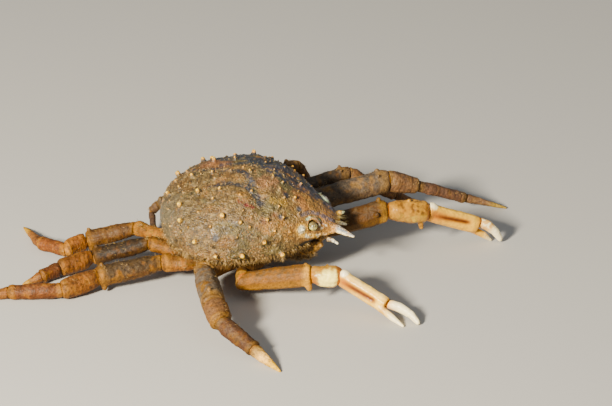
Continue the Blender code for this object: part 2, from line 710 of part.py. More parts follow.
def make_materials():
    """The finishes of the animal's parts."""
    return {
        "carapace": make_material("carapace_shell", "#9B7D50", 0.7),
        "sternum": make_material("sternum_shell", "#B08A5A", 0.6),
        "mouth": make_material("mouthpart_shell", "#8A5F38", 0.6),
        "eye": make_material("cornea", "#2A2A22", 0.2),
        "base": make_material("leg_base_shell", "#C0813F", 0.5),
        "merus": make_material("merus_shell", "#8A7355", 0.6),
        "carpus": make_material("carpus_shell", "#B06F35", 0.5),
        "propodus": make_material("propodus_shell", "#A35C30", 0.5),
        "dactyl": make_material("dactyl_shell", "#9A5230", 0.5),
        "claw_base": make_material("claw_base_shell", "#B5803F", 0.5),
        "claw_merus": make_material("claw_merus_shell", "#C98A4A", 0.5),
        "claw_carpus": make_material("claw_carpus_shell", "#E6CFA5", 0.45),
        "claw_palm": make_material("claw_palm_shell", "#F0DDB8", 0.4),
        "claw_finger": make_material("claw_finger_shell", "#F2F0F2", 0.35),
    }


def main():
    clear_scene()
    random.seed(SEED)
    materials = make_materials()
    build_carapace(materials)
    build_sternum(materials)
    build_abdomen(materials)
    build_eyes(materials)
    build_mouth(materials)
    for leg in POSE:
        if leg.startswith("claw"):
            build_claw(leg, materials)
        else:
            build_leg(leg, materials)
    centre_on_floor()


main()
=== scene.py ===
"""The common spider crab as a still life-size model: silt-coated knobbly shell, wrinkled legs, pale claws.

Sizes are millimetres in the tables and become metres on the meshes. The body's frame has x forward along the
shell, y to its left and z up from the level of the shell's edge.
"""
import math
from types import SimpleNamespace

import bmesh
import bpy
import numpy as np
from mathutils import Matrix, Vector, noise


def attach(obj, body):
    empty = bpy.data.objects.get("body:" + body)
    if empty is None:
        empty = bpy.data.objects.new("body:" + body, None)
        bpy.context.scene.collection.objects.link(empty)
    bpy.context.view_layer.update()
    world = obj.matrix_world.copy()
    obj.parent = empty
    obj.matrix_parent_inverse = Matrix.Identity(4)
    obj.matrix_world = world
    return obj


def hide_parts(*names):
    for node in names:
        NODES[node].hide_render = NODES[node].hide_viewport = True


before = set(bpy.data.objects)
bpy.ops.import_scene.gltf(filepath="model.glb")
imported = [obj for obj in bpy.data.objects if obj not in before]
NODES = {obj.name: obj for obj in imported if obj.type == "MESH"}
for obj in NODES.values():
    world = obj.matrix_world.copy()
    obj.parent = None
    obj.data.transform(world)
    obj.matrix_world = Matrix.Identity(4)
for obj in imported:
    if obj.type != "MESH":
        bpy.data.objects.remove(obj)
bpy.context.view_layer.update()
rng = np.random.default_rng(11)

MM = 0.001

# How the body is held over the floor: height, roll and place
BODY_HEIGHT = 19.7
BODY_ROLL = math.radians(7)
BODY_PLACE = (-0.205, 3.70)

# The camera: its direction, distance in metres, lens, the point it aims at and the shift of the aim
AZIMUTH = math.radians(14)
ELEVATION = math.radians(25)
DISTANCE = 1.3
LENS = 228.3
AIM = (-0.001, 0.0, 0.017)
AIM_RIGHT = 0.0222
AIM_UP = 0.0054

# Voxels of the even meshes in millimetres, and how many times each is softened
SHELL_VOXEL = 0.31
SHELL_ROUNDS = 3
LEG_VOXEL = 0.26
LEG_ROUNDS = 12
CLAW_VOXEL = 0.22
CLAW_ROUNDS = 10
EYE_VOXEL = 0.13
EYE_ROUNDS = 4
MOUTH_VOXEL = 0.22
ANTENNA_VOXEL = 0.11
STERNUM_VOXEL = 0.4
ABDOMEN_VOXEL = 0.3
PLATE_ROUNDS = 5

# How far the wet cornea fills its socket, as a share of the eye's size
EYE_SWELL = {"right": 1.12, "left": 0.9}

# The folds in the joints: their share of the joint's radius, and how flat they are along the leg
FOLD_SHARE = 0.86
FOLD_FLATNESS = 0.55

# Width of one tuft's patch on the map that its colour is baked in
TUFT_PATCH = 0.003


def linear(hex_code):
    """An sRGB hex colour as linear RGB."""
    channels = [int(hex_code[i:i + 2], 16) / 255 for i in (1, 3, 5)]
    return np.array([c / 12.92 if c <= 0.04045 else ((c + 0.055) / 1.055) ** 2.4 for c in channels])


# Colours of the shell
SILT = linear("#80622F")
SILT_PALE = linear("#AC8E52")
SILT_DARK = linear("#3E301A")
OLIVE = linear("#6A6032")
OCHRE = linear("#A06A20")
ROSE = linear("#B4703A")
ORANGE = linear("#BE8228")
MAUVE = linear("#5A5868")
# Bluish grey of the painted shade in the grooves, along the far ridge, over the far slope, in hollows and on
# the tops of the horns
SHADE_BLUE = linear("#323C4A")
SMOOTH_GREY = linear("#84714C")
KNOB = linear("#E09A00")
KNOB_TIP_HIGHLIGHT = linear("#FFDC48")
IVORY = linear("#FBEFC4")
YELLOW = linear("#F0B428")
GREENISH = linear("#B4C49A")
RED_SPOT = linear("#7E2416")
# Near-black painted shadow in the slit under the shell's front
SLIT_SHADOW = linear("#171009")

# Colours of the legs
LEG_COLOURS = {"base": linear("#CC8620"), "merus": linear("#A06C20"), "carpus": linear("#C27A1C"),
               "propodus": linear("#A86220"), "dactyl": linear("#9C5C20")}
LEG_DARK = linear("#6A3C14")
LEG_SILT = linear("#6A563A")
LEG_SILT_PALE = linear("#928270")
# Bluish grey, painted as shade over the left legs and as the rings of the feelers
GREY_SHADE_AND_RINGS = linear("#767C86")
LEG_RED = linear("#94501C")
JOINT = linear("#D89820")
DACTYL_PALE = linear("#F4BC58")
DACTYL_TIP = linear("#E2AE00")

# Colours of the claws, mouth and eyes
CLAW_TAN = linear("#A86C14")
CREAM = linear("#FFD034")
GOLD = linear("#DC9C1C")
AMBER = linear("#A05800")
GROOVE = linear("#562600")
WHITE = linear("#FAE8B4")
WRIST_PATCH = linear("#FFE874")
MOUTH = linear("#A87A2C")
EYE_YELLOW = linear("#B8A44C")
EYE_BROWN = linear("#4A3420")

# Colours of bristles and shell granules
BRISTLE_COLOURS = [linear(c) for c in ("#9C7C40", "#6E5426", "#B8965A", "#4A3718", "#86642E")]
ROSTRAL_HAIR = linear("#B8A468")
GRANULE_COLOURS = [linear(c) for c in ("#B8924E", "#8A6A30", "#CDAA68", "#C07C2E", "#5A4420", "#A0823E",
                                       "#C89A58", "#6E5830")]


# Meshes as arrays, in millimetres

def arrays(mesh):
    """Vertices in millimetres, edges and vertex normals of a mesh."""
    count = len(mesh.vertices)
    co = np.empty(count * 3)
    mesh.vertices.foreach_get("co", co)
    ends = np.empty(len(mesh.edges) * 2, dtype=np.int64)
    mesh.edges.foreach_get("vertices", ends)
    normals = np.empty(count * 3)
    mesh.vertex_normals.foreach_get("vector", normals)
    return co.reshape(-1, 3) / MM, ends.reshape(-1, 2), normals.reshape(-1, 3)


def relaxed(co, ends, rounds, amount=0.5):
    """The vertices after some rounds of averaging with their neighbours."""
    a, b = ends[:, 0], ends[:, 1]
    degree = np.bincount(np.concatenate((a, b)), minlength=len(co)).astype(float)
    degree[degree == 0] = 1
    co = co.copy()
    for _ in range(rounds):
        total = np.empty_like(co)
        for k in (0, 1, 2):
            total[:, k] = np.bincount(a, co[b, k], len(co)) + np.bincount(b, co[a, k], len(co))
        co += (total / degree[:, None] - co) * amount
    return co


def put_back(mesh, co):
    """Give a mesh new corners, in millimetres."""
    mesh.vertices.foreach_set("co", (co * MM).ravel())
    mesh.update()


def noise_at(co, scale, seed=0.0, octaves=2):
    """Soft noise from -1 to 1 at every vertex, with features of a size in millimetres."""
    shift = Vector((seed, seed * 1.7, seed * 0.3))
    return np.array([noise.fractal(Vector(p) / scale + shift, 1.0, 2.0, octaves) for p in co])


def bumps_at(co, spacing, seed=0.0):
    """Round grains from 0 to 1 at every vertex, at a spacing in millimetres."""
    shift = Vector((seed, seed * 1.3, seed * 0.7))
    found = [noise.voronoi(Vector(p) / spacing + shift)[0][0] for p in co]
    return np.clip(1 - np.array(found) / 0.45, 0, 1)


def step(x, low, high):
    """0 below low, 1 above high and a soft rise between."""
    t = np.clip((x - low) / (high - low), 0, 1)
    return t * t * (3 - 2 * t)


def mix(a, b, amount):
    """Colours a with an amount of colours b, from 0 to 1 at every vertex."""
    amount = np.reshape(np.clip(amount, 0, 1), (-1, 1))
    return a * (1 - amount) + b * amount


def to_body(co):
    """World millimetres in the body's own frame, level with the shell's edge."""
    p = co - np.array((BODY_PLACE[0], BODY_PLACE[1], BODY_HEIGHT))
    c, s = math.cos(BODY_ROLL), math.sin(BODY_ROLL)
    return np.stack((p[:, 0], p[:, 1] * c + p[:, 2] * s, -p[:, 1] * s + p[:, 2] * c), axis=1)


def turned(vectors):
    """Directions in the body's frame, in the floor's frame."""
    c, s = math.cos(BODY_ROLL), math.sin(BODY_ROLL)
    v = np.asarray(vectors, float).reshape(-1, 3)
    return np.stack((v[:, 0], v[:, 1] * c - v[:, 2] * s, v[:, 1] * s + v[:, 2] * c), axis=1)


def from_body(points):
    """Points in the body's frame, in the floor's frame."""
    return turned(points) + np.array((BODY_PLACE[0], BODY_PLACE[1], BODY_HEIGHT))


def spots(body, places, both=True):
    """A mask of soft round spots: x, distance from the midline, height and radius."""
    mask = np.zeros(len(body))
    for x, y, z, radius in places:
        across = np.abs(body[:, 1]) - y if both else body[:, 1] - y
        away = np.sqrt((body[:, 0] - x) ** 2 + across ** 2 + (body[:, 2] - z) ** 2)
        mask = np.maximum(mask, step(radius * 1.3 - away, 0, radius * 0.8))
    return mask


def band(body, points, radius, both=True):
    """A mask of a soft band along a line of points, on both sides or as given."""
    spot = body.copy()
    if both:
        spot[:, 1] = np.abs(spot[:, 1])
    nearest = np.full(len(body), 99.0)
    for a, b in zip(points, points[1:]):
        a, b = np.array(a, float), np.array(b, float)
        run = b - a
        t = np.clip((spot - a) @ run / (run @ run), 0, 1)
        nearest = np.minimum(nearest, np.linalg.norm(spot - a - t[:, None] * run, axis=1))
    return step(radius * 1.4 - nearest, 0, radius * 0.8)


# Making pieces

def finer(node, voxel, rounds):
    """A copy of a CAD node as an even fine mesh, softened."""
    mesh = NODES[node].data.copy()
    bm = bmesh.new()
    bm.from_mesh(mesh)
    bmesh.ops.remove_doubles(bm, verts=bm.verts, dist=1e-6)
    bm.to_mesh(mesh)
    bm.free()
    obj = bpy.data.objects.new(node + "_fine", mesh)
    bpy.context.scene.collection.objects.link(obj)
    remesh = obj.modifiers.new("even", "REMESH")
    remesh.mode = "VOXEL"
    remesh.voxel_size = voxel * MM
    graph = bpy.context.evaluated_depsgraph_get()
    even = bpy.data.meshes.new_from_object(obj.evaluated_get(graph))
    obj.modifiers.clear()
    obj.data = even
    even.materials.clear()
    co, ends, _ = arrays(even)
    put_back(even, relaxed(co, ends, rounds))
    return obj


def paint(mesh, colours):
    """Store a colour for every vertex."""
    layer = mesh.color_attributes.new("tint", "FLOAT_COLOR", "POINT")
    rgba = np.ones((len(mesh.vertices), 4))
    rgba[:, :3] = np.clip(colours, 0, 1)
    layer.data.foreach_set("color", rgba.ravel())


def finish(obj, material, nodes=()):
    """Dress a piece and tie it to the frame."""
    obj.data.materials.clear()
    obj.data.materials.append(material)
    for polygon in obj.data.polygons:
        polygon.use_smooth = True
    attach(obj, "root")
    if nodes:
        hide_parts(*nodes)


# Small shapes that are repeated: bristles and shell granules

def granule_shape():
    """A rounded grain of radius 1."""
    bm = bmesh.new()
    bmesh.ops.create_icosphere(bm, subdivisions=1, radius=1)
    return shape_arrays(bm)


def bristle_shape(thickness, hairs, curl):
    """Bent bristles that fan out from one root, the first 1 long and each next one a little shorter."""
    bm = bmesh.new()
    bmesh.ops.create_cone(bm, cap_ends=True, segments=3, radius1=thickness, radius2=thickness * 0.25,
                          depth=1, matrix=Matrix.Translation((0, 0, 0.5)))
    bmesh.ops.bisect_plane(bm, geom=bm.verts[:] + bm.edges[:] + bm.faces[:], plane_co=(0, 0, 0.5),
                           plane_no=(0, 0, 1))
    for v in bm.verts:
        v.co.x += curl * v.co.z * (0.4 + v.co.z)
    first = bm.verts[:] + bm.edges[:] + bm.faces[:]
    for k in range(1, hairs):
        copied = bmesh.ops.duplicate(bm, geom=first)
        moved = [g for g in copied["geom"] if isinstance(g, bmesh.types.BMVert)]
        turn = Matrix.Rotation(k * math.tau / hairs, 3, "Z")
        bmesh.ops.rotate(bm, verts=moved, cent=(0, 0, 0), matrix=turn)
        bmesh.ops.scale(bm, vec=(1, 1, 1 - 0.12 * k), verts=moved)
    return shape_arrays(bm)


def shape_arrays(bm):
    """The corners and triangles of a small shape."""
    bmesh.ops.triangulate(bm, faces=bm.faces[:])
    bm.verts.index_update()
    corners = np.array([v.co for v in bm.verts])
    faces = np.array([[v.index for v in f.verts] for f in bm.faces])
    bm.free()
    return corners, faces


def scatter(name, shape, places, material):
    """Join one copy of a small shape for every place into one piece.

    A place has its root, direction, size, colour and the place of its root on the unwrapped skin.
    """
    corners, faces = shape
    roots, aims, sizes, colours, unwrapped = (np.concatenate(column) for column in zip(*places))
    count = len(roots)
    aims = aims / np.linalg.norm(aims, axis=1)[:, None]
    across = np.cross(aims, rng.normal(size=(count, 3)))
    across /= np.linalg.norm(across, axis=1)[:, None]
    frames = np.stack((across, np.cross(aims, across), aims), axis=1)
    co = roots[:, None] + sizes[:, None, None] * np.einsum("vk,ckj->cvj", corners, frames)
    tris = faces[None] + (np.arange(count) * len(corners))[:, None, None]
    mesh = bpy.data.meshes.new(name)
    mesh.from_pydata((co.reshape(-1, 3) * MM).tolist(), [], tris.reshape(-1, 3).tolist())
    paint(mesh, np.repeat(colours, len(corners), axis=0))
    flat = corners[:, :2] - corners[:, :2].min(axis=0)
    flat = flat / flat.max() * TUFT_PATCH
    uv = unwrapped[:, None] + flat[faces.ravel()][None]
    mesh.uv_layers.new(name="OFBake").data.foreach_set("uv", uv.ravel())
    obj = bpy.data.objects.new(name, mesh)
    bpy.context.scene.collection.objects.link(obj)
    finish(obj, material, [])


def pick(weights, count):
    """Chance vertices, more of them where the weight is high."""
    some = np.count_nonzero(weights > 0)
    return rng.choice(len(weights), min(count, some), replace=False, p=weights / weights.sum())


def chance_colours(palette, count):
    """Chance colours of a palette, a little lighter or darker."""
    chosen = np.array(palette)[rng.integers(len(palette), size=count)]
    return chosen * rng.uniform(0.75, 1.25, size=(count, 1))


# Where tufts stand on the unwrapped skin: the shell below, the legs in rows of cells above it
SHELL_SHARE = 0.58
LEG_SHARE = 0.4
CELLS_ACROSS = 10
CELLS_UP = 6


def shell_unwrap(body):
    """Places on the shell's share of the map: round the shell across, along it up."""
    u = (np.arctan2(body[:, 2] + 4, body[:, 1]) / math.tau + 0.5) * 0.98
    v = (body[:, 0] + 28) / 70 * SHELL_SHARE
    return np.stack((u, v), axis=1)


def leg_unwrap(cell, t, turn):
    """Places in one leg piece's cell of the map: round the piece across, along it up."""
    u = (cell % CELLS_ACROSS + (turn + 180) / 360 * 0.9) / CELLS_ACROSS
    v = 1 - LEG_SHARE + (cell // CELLS_ACROSS + np.clip(t, 0, 1) * 0.9) / CELLS_UP * LEG_SHARE
    return np.stack((u, v), axis=1)


# Materials

def add_node(tree, kind, links=None, **settings):
    """Add a shader node, set its sockets and attributes and link its inputs."""
    node = tree.nodes.new(kind)
    for key, value in settings.items():
        if key in node.inputs:
            node.inputs[key].default_value = value
        else:
            setattr(node, key, value)
    for key, source in (links or {}).items():
        tree.links.new(source, node.inputs[key])
    return node


def spread(tree, source, low, high):
    """Stretch the middle of a noise over a range."""
    node = add_node(tree, "ShaderNodeMapRange", {"Value": source})
    for key, value in (("From Min", 0.3), ("From Max", 0.7), ("To Min", low), ("To Max", high)):
        node.inputs[key].default_value = value
    return node.outputs[0]


def painted(name, grain, speckle, roughness, gloss_range, bump, coat=0.0, specular=0.5):
    """A painted surface with grains in its colour, gloss and relief.

    grain is the size of the grains in millimetres and speckle how much they change the colour.
    """
    material = bpy.data.materials.new(name)
    material.use_nodes = True
    tree = material.node_tree
    shader = tree.nodes["Principled BSDF"]
    place = add_node(tree, "ShaderNodeTexCoord").outputs["Object"]
    tint = add_node(tree, "ShaderNodeAttribute", attribute_name="tint").outputs["Color"]
    fine = add_node(tree, "ShaderNodeTexNoise", {"Vector": place}, Scale=1 / (grain * MM), Detail=3.0,
                    Roughness=0.6).outputs["Fac"]
    wide = add_node(tree, "ShaderNodeTexNoise", {"Vector": place}, Scale=1 / (grain * 5 * MM), Detail=4.0,
                    Roughness=0.65).outputs["Fac"]
    grains = add_node(tree, "ShaderNodeTexVoronoi", {"Vector": place}, Scale=1 / (grain * 1.3 * MM))
    cell = add_node(tree, "ShaderNodeSeparateColor", {0: grains.outputs["Color"]}).outputs[0]
    shade = spread(tree, fine, 1 - speckle, 1 + speckle)
    for source, share in ((wide, speckle * 0.5), (cell, speckle * 0.45)):
        shade = add_node(tree, "ShaderNodeMath", {0: shade, 1: spread(tree, source, 1 - share, 1 + share)},
                         operation="MULTIPLY").outputs[0]
    colour = add_node(tree, "ShaderNodeVectorMath", {0: tint, "Scale": shade}, operation="SCALE")
    tree.links.new(colour.outputs[0], shader.inputs["Base Color"])
    gloss = spread(tree, wide, roughness - gloss_range, roughness + gloss_range)
    tree.links.new(gloss, shader.inputs["Roughness"])
    domes = add_node(tree, "ShaderNodeMath", {0: grains.outputs["Distance"]}, operation="MULTIPLY")
    domes.inputs[1].default_value = -0.9
    height = add_node(tree, "ShaderNodeMath", {0: fine, 1: domes.outputs[0]}, operation="ADD")
    relief = add_node(tree, "ShaderNodeBump", {"Height": height.outputs[0]}, Strength=bump,
                      Distance=grain * MM)
    tree.links.new(relief.outputs[0], shader.inputs["Normal"])
    shader.inputs["Specular IOR Level"].default_value = specular
    shader.inputs["Coat Weight"].default_value = coat
    shader.inputs["Coat Roughness"].default_value = 0.15
    return material


def plain(name, hex_code, roughness):
    """A surface in one colour."""
    material = bpy.data.materials.new(name)
    material.use_nodes = True
    shader = material.node_tree.nodes["Principled BSDF"]
    shader.inputs["Base Color"].default_value = (*linear(hex_code), 1.0)
    shader.inputs["Roughness"].default_value = roughness
    return material


# Calcified shell under a coat of fine wet silt: dull, grainy, with a faint wet shine
shell_skin = painted("silty_shell", grain=0.45, speckle=0.5, roughness=0.46, gloss_range=0.2, bump=0.7,
                     coat=0.12)
# Leg cuticle rough with silt: dull, with little shine
leg_skin = painted("silty_leg_cuticle", grain=0.45, speckle=0.28, roughness=0.6, gloss_range=0.12, bump=0.3,
                   specular=0.22)
# Smooth enamel-like cuticle of the claws
claw_skin = painted("claw_cuticle", grain=0.8, speckle=0.1, roughness=0.34, gloss_range=0.08, bump=0.15,
                    coat=0.05, specular=0.35)
# Wet mottled cornea
eye_skin = painted("cornea", grain=0.4, speckle=0.35, roughness=0.22, gloss_range=0.08, bump=0.1, coat=0.5)
# Horny bristles
bristle_skin = painted("bristle", grain=0.6, speckle=0.15, roughness=0.4, gloss_range=0.1, bump=0.0)
# Worn granules of the shell, smoother and glossier than the silt
granule_skin = painted("shell_granule", grain=0.4, speckle=0.15, roughness=0.3, gloss_range=0.12, bump=0.0,
                       coat=0.35)


# Carapace

# Lines of marks in the body's frame, alike on both sides but for the far line and the upper groove
ARCH_LINE = ((24.4, 8.4, 5.2), (25.2, 7.2, 5.4), (26.8, 6.2, 4.8), (28.2, 5.6, 3.8))
REAR_SPINE_LINE = ((22.2, 10.8, 2.6), (24.6, 12.1, 3.4))
LOWER_EDGE_LINE = ((23.0, 11.8, 1.2), (24.8, 10.2, 0.1), (28.4, 6.9, -1.7), (32.3, 4.8, -1.4))
BROW_LINE = ((22.6, 8.2, 6.6), (25.0, 5.4, 6.4), (27.5, 3.9, 5.0), (30.0, 3.0, 3.4), (32.4, 2.2, 1.6))
# The far ridge and the grooves below are painted in bluish shade
FAR_LINE = ((-12.0, 13.5, 11.4), (-6.1, 12.1, 13.4), (1.1, 10.2, 15.1), (4.0, 7.4, 15.6), (9.1, 4.8, 15.2),
            (14.1, 2.8, 13.6), (19.2, 3.4, 10.4), (25.3, 4.4, 6.3), (30.0, 4.0, 3.2))
GROOVE_LINE = ((-8.9, 7.3, 13.7), (-4.2, 6.4, 15.0), (1.0, 7.2, 15.8), (4.4, 7.7, 15.5), (7.8, 10.4, 14.1),
               (10.0, 12.8, 12.7))
UPPER_GROOVE_LINE = ((-18.4, 5.4, 11.0), (-11.8, 3.8, 13.3), (-4.4, 1.1, 15.5), (1.7, -0.9, 16.3),
                     (5.7, -6.1, 15.6))

# Height of the upper edge of the painted shadow in the mouth slit, along the shell
SLIT_EDGE = ((22.0, -2.4), (24.4, -1.1), (28.4, -2.8), (32.3, -2.4))

# Round marks: x, distance from the midline, height and radius; the rear rose and red ones are on one side
ROSE_PLACES = ((8.6, 3.3, 15.5, 4.0), (12.5, 3.0, 14.4, 4.0), (16.1, 2.0, 12.5, 3.5), (20.3, 3.3, 9.7, 2.6),
               (22.6, 4.7, 8.1, 2.2))
REAR_ROSE_PLACES = ((-13.1, 9.1, 12.2, 4.2), (-8.0, 6.5, 14.1, 3.4))
DEEP_ROSE_PLACES = ((12.3, 17.5, 8.3, 1.0), (15.0, 14.0, 9.3, 0.9))
ORANGE_PLACES = ((13.8, 18.3, 5.9, 3.2), (17.0, 15.6, 6.0, 3.0), (20.0, 14.9, 2.7, 2.6),
                 (3.8, 12.5, 14.2, 2.6))
YELLOW_PLACES = ((13.6, 10.1, 12.2, 1.5), (16.5, 8.6, 11.0, 1.8))
# Hollows painted in shade
SHADE_PLACES = ((-2.5, 24.9, 4.8, 1.3), (21.6, 7.1, 8.1, 1.1), (16.9, 13.3, 8.2, 1.1), (16.8, 4.8, 11.7, 1.2))
RED_PLACES = ((3.6, -14.3, 13.4, 1.1), (5.9, -15.1, 12.6, 1.1), (7.8, -14.9, 12.3, 1.0))
CROWN_PLACES = ((9, 3, 15, 8),)
CHEEK_PLACES = ((25.7, 8.9, -0.9, 0.45),)
SPECK_PLACES = ((28.2, 6.8, 2.6, 0.5), (28.9, 6.8, 1.4, 0.5), (30.2, 5.6, 1.9, 0.4))
JAW_ORANGE_PLACES = ((26.4, 5.6, -9.6, 0.9),)
JAW_IVORY_PLACES = ((27.6, 4.6, -5.6, 0.7),)

# How dark the shell is painted, as a share of its colours by name
SHELL_TONE = 0.53

# How the rear and the middle of the crown are greyer than the rest, by channel
REAR_TINT = np.array((0.78, 0.84, 0.95))
CROWN_TINT = np.array((0.95, 1.08, 1.4))

# How many granules and bristles the shell has, and the mouth on each side
GRANULES = 4200
FRINGE_BRISTLES = 1500
ROSTRAL_BRISTLES = 11
MOUTH_BRISTLES = 330


def smooth_rear(body):
    """A mask of the smooth patch low on the right of the rear."""
    return step(-body[:, 0], 17, 20) * step(-body[:, 1], 6, 10)


def shell_relief(co, knob, calm, grains):
    """How far the silt stands out: waves, grains between the knobs and fine grains."""
    lumps = noise_at(co, 6.5, 2.0, 2) * 0.35 + noise_at(co, 2.6, 12.0, 2) * 0.2
    fine = bumps_at(co, 0.85, 6.0)
    lift = lumps + (grains * 0.34 + fine * 0.14 - 0.1) * (1 - knob)
    return lift * (1 - calm) + noise_at(co, 1.2, 5.0) * 0.05


def silt_marks(co, body, grains, patch, small):
    """Blotches of silt, from wide ones to single grains, and the smooth grey patch."""
    tiny = noise_at(co, 0.7, 14.0, 2)
    colours = mix(SILT, OCHRE, step(patch, -0.2, 0.5) * 0.75)
    colours = mix(colours, SILT_PALE, step(-small, 0.0, 0.6) * 0.6)
    colours = mix(colours, OLIVE, step(noise_at(co, 8.0, 41.0, 3), 0.0, 0.4) * 0.7)
    colours = mix(colours, SILT_DARK, step(small, 0.05, 0.55) * 0.65)
    colours = mix(colours, SILT_DARK, step(tiny, 0.2, 0.6) * 0.6)
    colours = mix(colours, SILT_PALE, grains * 0.35)
    return mix(colours, SMOOTH_GREY, smooth_rear(body) * 0.7)


def warm_marks(colours, body, patch, small):
    """Rosy, orange and yellow areas between the knobs."""
    colours = mix(colours, ROSE, spots(body, ROSE_PLACES) * step(patch, -0.5, 0.3) * 0.65)
    colours = mix(colours, ROSE, spots(body, REAR_ROSE_PLACES, False) * 0.75)
    colours = mix(colours, ORANGE, spots(body, ORANGE_PLACES) * step(small, -0.5, 0.3) * 0.65)
    colours = mix(colours, YELLOW, spots(body, YELLOW_PLACES) * 0.4)
    return mix(colours, ROSE * 0.6, spots(body, DEEP_ROSE_PLACES) * 0.7)


def shade_and_cold_marks(colours, co, body, small):
    """Ochre front, painted bluish shade in the grooves, along the far ridge, over the far slope and in
    hollows, mauve brow, red specks, and darker towards the bottom.
    """
    x, y, z = body.T
    ridge = np.interp(x, [p[0] for p in FAR_LINE], [p[1] for p in FAR_LINE])
    far_side = step(y - ridge, -1.5, 1.5) * step(z, -3, 1)
    colours = mix(colours, OCHRE, step(x, 16, 26) * step(z, -3.4, -1.0) * (1 - far_side) * 0.55)
    # Painted shade along the far ridge and in the grooves
    ridge_and_groove_shade = band(body, FAR_LINE, 2.4, False) * step(small, -0.5, 0.25) * 0.9
    ridge_and_groove_shade = np.maximum(ridge_and_groove_shade, band(body, GROOVE_LINE, 1.3) * step(small, -0.7, 0.1) * 0.75)
    ridge_and_groove_shade = np.maximum(ridge_and_groove_shade, band(body, UPPER_GROOVE_LINE, 1.1, False) * step(small, -0.6, 0.1) * 0.8)
    # Painted shade in patches over the far slope, which faces away from the light
    far = far_side * step(noise_at(co, 2.4, 27.0, 3), -0.4, 0.1)
    colours = mix(colours, SHADE_BLUE, np.maximum(ridge_and_groove_shade, far * 0.85))
    colours = mix(colours, MAUVE, band(body, BROW_LINE, 0.75) * step(small, -0.7, 0.2) * 0.7)
    streaks = step(np.sin(y * 4.2 + small * 1.6), 0.3, 0.9) * step(x, 25, 29) * step(z, 0.5, 2.5)
    colours = mix(colours, MAUVE, streaks * 0.5)
    # Painted shade in the hollows
    colours = mix(colours, SHADE_BLUE, spots(body, SHADE_PLACES) * 0.8)
    colours = mix(colours, RED_SPOT, spots(body, RED_PLACES, False) * step(small, -0.3, 0.1) * 0.85)
    return mix(colours, SILT_DARK, step(-z, 4.0, 6.5) * 0.5)


def face_marks(colours, body, small):
    """The arch of the orbit, the spine behind it, the lower edge and the painted shadow in the mouth slit.
    """
    x, z = body[:, 0], body[:, 2]
    colours = mix(colours, GREENISH, band(body, ARCH_LINE, 0.5) * 0.9)
    pale = mix(YELLOW, IVORY, step(small, -0.2, 0.4))
    colours = mix(colours, pale, band(body, LOWER_EDGE_LINE, 0.75) * 0.9)
    colours = mix(colours, IVORY, spots(body, CHEEK_PLACES))
    edge = np.interp(x, [p[0] for p in SLIT_EDGE], [p[1] for p in SLIT_EDGE])
    # Painted shadow in the slit under the shell's edge
    colours = mix(colours, SLIT_SHADOW, step(x, 20.5, 23) * step(edge - z, 0, 0.8) * 0.97)
    colours = mix(colours, YELLOW, band(body, REAR_SPINE_LINE, 2.1) * 0.7)
    colours = mix(colours, IVORY, band(body, REAR_SPINE_LINE, 1.35))
    colours = mix(colours, GREENISH, band(body, REAR_SPINE_LINE, 1.2) * step(z, 3.2, 4.2) * 0.5)
    colours = mix(colours, IVORY, spots(body, SPECK_PLACES) * 0.9)
    return mix(colours, ORANGE, step(x, 28.8, 30.0) * (1 - step(z, 0.6, 1.8)) * 0.75)


def horn_marks(colours, body, normals, horn):
    """Pale horns with painted bluish shade on top, striped, with a golden tip, and the worn stump of the
    left one.
    """
    x, y, z = body.T
    low_side = step(-normals[:, 2], -0.5, 0.05)
    stripes = step(np.sin(np.arctan2(z - 2, np.abs(y) - 4) * 9), 0.2, 0.9)
    # Painted shade: the tops of the horns are bluish grey, their low sides stay pale
    pale = mix(mix(WHITE, SHADE_BLUE * 3.5, 0.85 * (1 - low_side)), YELLOW, stripes * 0.4)
    pale = mix(pale, GOLD, step(38.2 - x, 0, 0.6) * step(x, 37.0, 37.6) * 0.35)
    colours = mix(colours, pale, horn)
    worn = step(y, 1.5, 2.5) * step(x, 31.0, 32.2)
    return mix(colours, mix(YELLOW, GREENISH, step(x, 32.8, 33.6)), worn * 0.8)


def dress_shell():
    """The shell with its relief and colours, and the arrays that its granules and bristles need."""
    obj = finer("carapace", SHELL_VOXEL, SHELL_ROUNDS)
    mesh = obj.data
    co, ends, normals = arrays(mesh)
    base = relaxed(co, ends, 70)
    height = ((co - base) * normals).sum(axis=1)
    body = to_body(co)
    x = body[:, 0]
    horn = step(x, 32.6, 34.4)
    knob = step(height, 0.16, 0.45)
    calm = np.maximum(horn, smooth_rear(body) * 0.7)
    grains = bumps_at(co, 1.45, 3.0) * step(noise_at(co, 5.0, 9.0), -0.35, 0.25)
    co = co + normals * shell_relief(co, knob, calm, grains)[:, None]
    put_back(mesh, co)

    patch = noise_at(co, 6.0, 1.0, 3)
    small = noise_at(co, 1.5, 4.0, 3)
    colours = silt_marks(co, body, grains, patch, small)
    colours = warm_marks(colours, body, patch, small)
    colours = shade_and_cold_marks(colours, co, body, small)
    behind_face = 1 - step(x, 24.5, 26)
    colours = mix(colours, KNOB, knob * behind_face * 0.85)
    # Pale tips on the highest points of the knobs, partly a painted highlight
    colours = mix(colours, KNOB_TIP_HIGHLIGHT, step(height, 0.42, 0.85) * behind_face * 0.85)
    colours = face_marks(colours, body, small)
    colours = horn_marks(colours, body, normals, horn)
    # Partly painted light: the front and the knobs stay brighter than the rest of the shell, as the pale
    # horns do
    bright = np.maximum(horn, np.maximum(knob, step(x, 6, 26) * 0.6))
    colours = colours * mix(np.ones(3), REAR_TINT, step(-x, 4, 16))
    colours = colours * mix(np.ones(3), CROWN_TINT, spots(body, CROWN_PLACES))
    paint(mesh, colours * (SHELL_TONE + (1 - SHELL_TONE) * bright)[:, None])
    finish(obj, shell_skin, ["carapace"])
    return co, normals, body, knob


